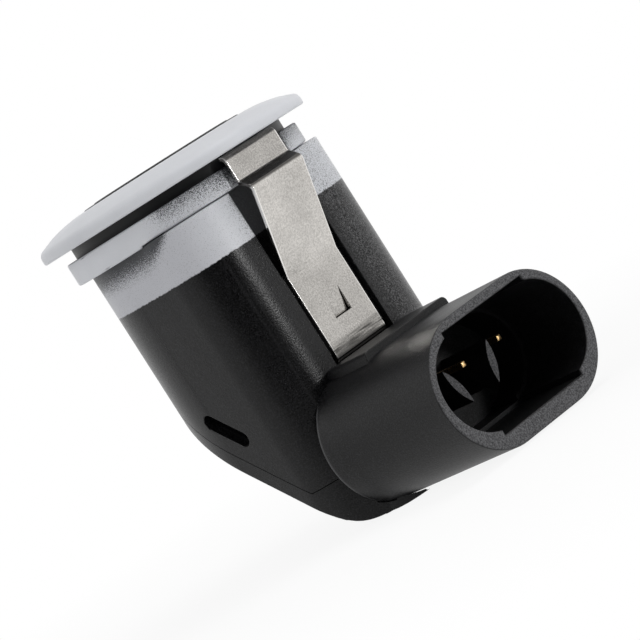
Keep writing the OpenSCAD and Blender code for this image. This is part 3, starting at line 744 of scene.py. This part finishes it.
def coverShape(points):
    x, y, z = points.T
    s = footSet
    slope = seamSet["slopeZ"] - seamSet["plate"] - seamSet["fall"] * x
    back = np.clip(s["heelEnd"] - x, 0.0, s["heelRadius"])
    heel = seamSet["footZ"] + s["heelRadius"] - np.sqrt(s["heelRadius"] ** 2 - back ** 2)
    start = s["heelEnd"] - s["heelRadius"] * math.sin(math.atan(seamSet["fall"]))
    under = np.where(x < start, slope, heel)
    x = x + s["stretch"] * np.maximum(x - s["pad"], 0.0) ** 2
    drop = s["sink"] + s["growth"] * x + s["curve"] * x ** 2
    drop -= s["bow"] * np.maximum(x - s["bowFrom"], 0.0) ** 2
    return np.stack([x, y, np.where(np.abs(z - under) < s["near"], z - drop, z)], -1)


bezelEdges = {"from": 12.3, "top": -1.0, "flange": 0.2}  # mm


def bezelRound(x, y, z):
    s = bezelEdges
    return np.where((np.hypot(x, y) > s["from"]) & (z < s["top"]), s["flange"], 0.0)


mouldingSet = {  # "width" is the widest radius in mm that "round" gives
    "housing": {"width": 0.24, "round": housingRound, "shape": housingShape},
    "rear_cover": {"width": 0.14, "round": coverRound, "shape": coverShape,
                   "cuts": np.arange(2.0, 13.5, 0.75)},  # mm along X
    "bezel_ring": {"width": 0.2, "round": bezelRound, "below": -1.1, "sectors": 18, "sectorShift": 0.37},
}
softCopy("housing", "housingShell", housingPlastic, mouldingSet["housing"])
softCopy("rear_cover", "rearCoverShell", coverPlastic, mouldingSet["rear_cover"])
softCopy("bezel_ring", "bezelFlange", bezelPaint, mouldingSet["bezel_ring"])
print("mouldings made")


# spring clip: the filleted middle line of the strip carried across Y, P(s, w) = line(s) + w * Y,
# with a window whose upper edge carries a tongue that leans inwards
clipSet = {
    "neck": 12.4, "leg": 13.0, "shoulder": 14.45, "pad": 11.4, "foot": 10.2,  # mm from the axis
    "hookZ": -0.35, "stepZ": -3.1, "shoulderZ": -4.1, "footTurn": 0.2,  # mm
    "bend": 0.5, "bendSteps": 10, "width": 7.4, "thick": 0.4,  # mm
    "edge": 0.07, "edgeSteps": 2, "edgeAngle": 50.0,  # mm, rows of faces, degrees
    "front": {"kneeZ": -13.5, "footZ": -22.8, "side": 1.0},
    "back": {"kneeZ": -11.07, "footZ": -12.97, "side": -1.0},
    "tongue": {"top": -16.9, "length": 2.3, "half": 1.05, "gap": 0.08, "inset": 0.5, "rows": 6},
}


def makeClip(s, end, tongue):
    corners = [(s["neck"], s["hookZ"]), (s["leg"], s["hookZ"]), (s["leg"], s["stepZ"]),
               (s["shoulder"], s["shoulderZ"]), (s["pad"], end["kneeZ"])]
    radii = [s["bend"]] * (len(corners) - 1)
    if tongue:
        low = tongue["top"] - tongue["length"] - tongue["gap"]
        corners += [(s["pad"], tongue["top"]), (s["pad"], low)]
        radii += [0, 0]
    corners += [(s["pad"], end["footZ"]), (s["foot"], end["footZ"] - s["footTurn"])]
    radii += [s["bend"]]
    line = filletPath(corners, radii, s["bendSteps"])
    half = s["width"] / 2
    slot = tongue["half"] + tongue["gap"] if tongue else half / 3
    across = np.array([-half, -slot, slot, half])
    rows, cols = len(line), len(across)
    points = np.empty((rows, cols, 3))
    points[..., 0] = end["side"] * line[:, :1]
    points[..., 1] = across
    points[..., 2] = line[:, 1:]
    points = points.reshape(-1, 3)
    faces = gridFaces(rows, cols)
    if tongue:
        top = int(np.argmin(np.abs(line[:, 1] - tongue["top"]) + np.abs(line[:, 0] - s["pad"])))
        faces = np.delete(faces, top * (cols - 1) + 1, axis=0)
        t = np.linspace(0, 1, tongue["rows"])[:, None]
        flap = np.empty((tongue["rows"], 2, 3))
        flap[..., 0] = end["side"] * (s["pad"] - tongue["inset"] * t)
        flap[..., 1] = np.where(t == 0, slot, tongue["half"]) * np.array([[-1.0, 1.0]])
        flap[..., 2] = tongue["top"] - tongue["length"] * t
        faces = np.concatenate([faces, gridFaces(tongue["rows"], 2) + len(points)])
        points = np.concatenate([points, flap.reshape(-1, 3)])
    return points, faces


def addClip(name, node, points, faces, s):
    piece = addPiece(name, newMesh(name, points, faces), node, clipSteel)
    wall = piece.modifiers.new("wall", "SOLIDIFY")
    wall.thickness = s["thick"] * mm
    wall.offset = 0.0
    wall.use_even_offset = True
    addBevel(piece, s["edge"], s["edgeSteps"], limit_method="ANGLE", angle_limit=math.radians(s["edgeAngle"]))


addClip("clipFront", "spring_clip_front", *makeClip(clipSet, clipSet["front"], clipSet["tongue"]), clipSet)
addClip("clipBack", "spring_clip_back", *makeClip(clipSet, clipSet["back"], None), clipSet)
print("clips bent")


# cup and soft ring: turned, with their outer sizes from the CAD boxes
cupSet = {
    "wall": 0.9, "membrane": 0.8, "round": 0.22, "inner": 0.3, "small": 0.05,  # mm
    "steps": 6, "turns": 144,
}
ringSet = {
    "wall": 1.2, "foot": 0.2, "hole": 6.55, "round": 0.3, "small": 0.05,  # mm
    "steps": 6, "turns": 144,
}


def makeCup(s):
    lo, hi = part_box("transducer_cup")
    r, low, top = hi[0] / mm, lo[2] / mm, hi[2] / mm
    inside, ceiling = r - s["wall"], top - s["membrane"]
    corners = [(0.0, ceiling), (inside, ceiling), (inside, low), (r, low), (r, top), (0.0, top)]
    radii = [s["inner"], s["small"], s["small"], s["round"]]
    return lathe(filletPath(corners, radii, s["steps"]), s["turns"])


def makeRing(s):
    lo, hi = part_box("decoupling_ring")
    r, low, top = hi[0] / mm, lo[2] / mm, hi[2] / mm
    inside, floor = r - s["wall"], low + s["foot"]
    middle = (r + inside) / 2
    corners = [(middle, low), (r, low), (r, top), (inside, top), (inside, floor), (s["hole"], floor),
               (s["hole"], low), (middle, low)]
    radii = [s["small"], s["round"], s["round"], s["small"], s["small"], s["small"]]
    return lathe(filletPath(corners, radii, s["steps"]), s["turns"])


# bezel cap: crown, rim, seat and neck turned in one; the crown is an arc from bore to rim
capSet = {
    "bore": 9.2, "spigotTop": 0.4, "sleeve": 10.6, "neck": 12.2, "neckLow": -1.1,  # mm
    "relief": 0.15, "land": 13.9, "rimTop": 1.2,  # mm
    "soft": 0.8, "lowEdge": 0.2, "small": 0.02,  # mm, radii
    "crownSteps": 20, "softEnd": 6,  # points along the crown, and the one that the rim's round aims at
    "steps": 6, "turns": 192,
}


def makeCap(s):
    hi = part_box("bezel_ring")[1]
    r, top = hi[0] / mm, hi[2] / mm
    rise, span = top - s["rimTop"], r - s["bore"]
    crown = (span ** 2 + rise ** 2) / (2 * rise)
    run = np.linspace(span, 0.0, s["crownSteps"])
    dome = np.stack([s["bore"] + run, top - crown + np.sqrt(crown ** 2 - run ** 2)], -1)
    inner = [(s["bore"], s["spigotTop"]), (s["sleeve"], s["spigotTop"]), (s["sleeve"], s["neckLow"]),
             (s["neck"], s["neckLow"]), (s["neck"], s["relief"]), (s["land"], s["relief"]), (s["land"], 0.0)]
    rim = [(r, 0.0), tuple(dome[0]), tuple(dome[s["softEnd"]])]
    radii = [s["small"]] * (len(inner) - 1) + [s["lowEdge"], s["soft"]]
    edge = filletPath(inner + rim, radii, s["steps"])
    return lathe(np.concatenate([edge, dome[s["softEnd"] + 1:], edge[:1]]), s["turns"])


addPiece("bezelCap", newMesh("bezelCap", *makeCap(capSet)), "bezel_ring", bezelPaint)
addPiece("cup", newMesh("cup", *makeCup(cupSet)), "transducer_cup", plain["cupCoating"])
addPiece("softRing", newMesh("softRing", *makeRing(ringSet)), "decoupling_ring",
         plain["ringRubber"])
print("cap, cup and ring turned")


# contact pin: a rounded square carried along X, P(x, a) = centre + k(x) * square(a), closed at both ends
pinSet = {
    "power": 0.28, "sides": 32,  # the square's roundness
    "root": 0.08, "rootSize": 0.85,  # mm, share of the full size
    "taper": 0.3, "tip": 0.94,  # mm, share
    "nose": 0.05, "noseSize": 0.8,  # mm, share of the tip
}


def makePin(node, s):
    lo, hi = np.array(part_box(node)) / mm
    centre, half = (lo + hi) / 2, (hi[1] - lo[1]) / 2
    angle = np.linspace(0, 2 * np.pi, s["sides"], endpoint=False)
    c, n = np.cos(angle), np.sin(angle)
    y = np.sign(c) * np.abs(c) ** s["power"]
    z = np.sign(n) * np.abs(n) ** s["power"]
    start, end = lo[0], hi[0]
    x = np.array([start, start, start + s["root"], end - s["taper"], end - s["taper"] / 2, end - s["nose"],
                  end, end])
    k = np.array([0.0, s["rootSize"], 1.0, 1.0, (1 + s["tip"]) / 2, s["tip"], s["tip"] * s["noseSize"], 0.0])
    points = np.empty((len(x), len(angle), 3))
    points[..., 0] = x[:, None]
    points[..., 1] = centre[1] + half * k[:, None] * y
    points[..., 2] = centre[2] + half * k[:, None] * z
    return points.reshape(-1, 3), gridFaces(len(x), len(angle), closed=True)


for side in ("left", "middle", "right"):
    node = "contact_pin_" + side
    name = "pin." + side
    addPiece(name, newMesh(name, *makePin(node, pinSet)), node, plain["pinGilt"])
print("pins drawn")


# the pieces inside keep their CAD shape
insideFinish = {
    "piezo_disc": "piezoCeramic",
    "damping_foam": "dampingFoam",
    "piezo_lead": "leadRed",
    "ground_lead": "leadBlack",
    "circuit_board": "boardLaminate",
    "control_chip": "chipResin",
    "transformer_core": "coreFerrite",
    "transformer_winding": "windingCopper",
    "storage_capacitor": "capacitorCan",
    "chip_resistors": "chipResin",
    "potting_compound": "pottingResin",
}
for node, finish in insideFinish.items():
    nodes[node].data.materials.clear()
    nodes[node].data.materials.append(plain[finish])
print("inner pieces finished:", len(insideFinish))


# room: what gloss sees round the part, white backdrop on most sides and a dark room beside the camera
roomSet = {
    "turn": 28.0,  # degrees from the socket's axis towards -Y, the middle of the dark room
    "from": (0.45, 0.85),  # cosines, from backdrop to room
    "near": (50.0, 160.0),  # mm from the axis, from white floor to the room's
}


def roomLight(tree, way, s):
    turn = math.radians(s["turn"])
    straight = addNode(tree, "ShaderNodeVectorMath", {0: way}, operation="NORMALIZE").outputs["Vector"]
    facing = addNode(tree, "ShaderNodeVectorMath", {0: straight, 1: (math.cos(turn), -math.sin(turn), 0.0)},
                     operation="DOT_PRODUCT").outputs["Value"]
    return ramp(tree, facing, *s["from"], 1.0, 0.0)


def rayKinds(tree):  # 1 for rays from the eye, and 1 for rays that gloss sends out
    ray = addNode(tree, "ShaderNodeLightPath").outputs
    return ray["Is Camera Ray"], doMath(tree, "MAXIMUM", ray["Is Glossy Ray"], ray["Is Transmission Ray"])


# pale floor: a disc of rings, white to the eye apart from a faint shadow near the part
floorSet = {
    "radius": 700.0, "rings": 24, "turns": 96, "gap": 0.02,  # mm
    "colour": (0.9, 0.9, 0.9, 1.0),
    "shadow": 0.11, "fade": (30.0, 95.0),  # share, mm from the axis
}


def makeFloor(s):
    run = s["radius"] * np.linspace(0, 1, s["rings"]) ** 2
    level = np.full(s["rings"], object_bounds()[0][2] / mm - s["gap"])
    mesh = newMesh("floor", *lathe(np.stack([run, level], -1), s["turns"]), outward=False)
    made, tree = emptyMaterial("floorPale")
    radius = axisDistance(tree, *mmAxes(tree)[:2])
    eye, gloss = rayKinds(tree)
    room = doMath(tree, "MAXIMUM", roomLight(tree, objectPoint(tree), roomSet),
                  ramp(tree, radius, *roomSet["near"], 1.0, 0.0))
    glow = ramp(tree, radius, *s["fade"], 1.0 - s["shadow"], 1.0)
    share = doMath(tree, "MULTIPLY", doMath(tree, "MAXIMUM", eye, gloss), glow)
    matt = addNode(tree, "ShaderNodeBsdfDiffuse", {"Color": s["colour"]})
    strength = doMath(tree, "MAXIMUM", eye, room)
    bright = addNode(tree, "ShaderNodeEmission", {"Color": white, "Strength": strength})
    mixed = addNode(tree, "ShaderNodeMixShader", {0: share, 1: matt.outputs["BSDF"],
                                                  2: bright.outputs["Emission"]})
    addNode(tree, "ShaderNodeOutputMaterial", {"Surface": mixed.outputs["Shader"]})
    floor = bpy.data.objects.new("floor", mesh)
    scene.collection.objects.link(floor)
    mesh.materials.append(made)
    floor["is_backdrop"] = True


makeFloor(floorSet)
print("floor laid")


# plain studio: white to the eye, the room for gloss, dimmer for diffuse light
lightSet = {
    "ambient": 0.42,
    "lamps": [  # name, place mm, size mm, watts
        ("keyLamp", (-60.0, -420.0, 330.0), 300.0, 0.6),
        ("sideLamp", (378.0, 130.0, 10.0), 50.0, 0.4),
        ("topLamp", (150.0, 120.0, 470.0), 300.0, 0.85),
    ],
    "aim": (4.0, 0.0, -17.0),  # mm
}


def makeWorld(s):
    world = bpy.data.worlds.new("studio")
    scene.world = world
    world.use_nodes = True
    tree = world.node_tree
    tree.nodes.clear()
    way = addNode(tree, "ShaderNodeTexCoord").outputs["Generated"]
    eye, gloss = rayKinds(tree)
    strength = doMath(tree, "MULTIPLY", gloss, roomLight(tree, way, roomSet))
    strength = doMath(tree, "ADD", strength, ramp(tree, gloss, 0.0, 1.0, s["ambient"], 0.0))
    strength = doMath(tree, "MAXIMUM", strength, eye)
    sky = addNode(tree, "ShaderNodeBackground", {"Color": white, "Strength": strength})
    addNode(tree, "ShaderNodeOutputWorld", {"Surface": sky.outputs["Background"]})


def makeLamps(s):
    aim = np.array(s["aim"]) * mm
    for name, place, size, watts in s["lamps"]:
        data = bpy.data.lights.new(name, "AREA")
        data.shape = "DISK"
        data.size = size * mm
        data.energy = watts
        spot = np.array(place) * mm
        back = (spot - aim) / np.linalg.norm(spot - aim)
        across = np.cross((0.0, 0.0, 1.0), back)
        across /= np.linalg.norm(across)
        lamp = bpy.data.objects.new(name, data)
        lamp.matrix_world = poseMatrix(across, back, spot)
        scene.collection.objects.link(lamp)


makeWorld(lightSet)
makeLamps(lightSet)
print("studio lit")
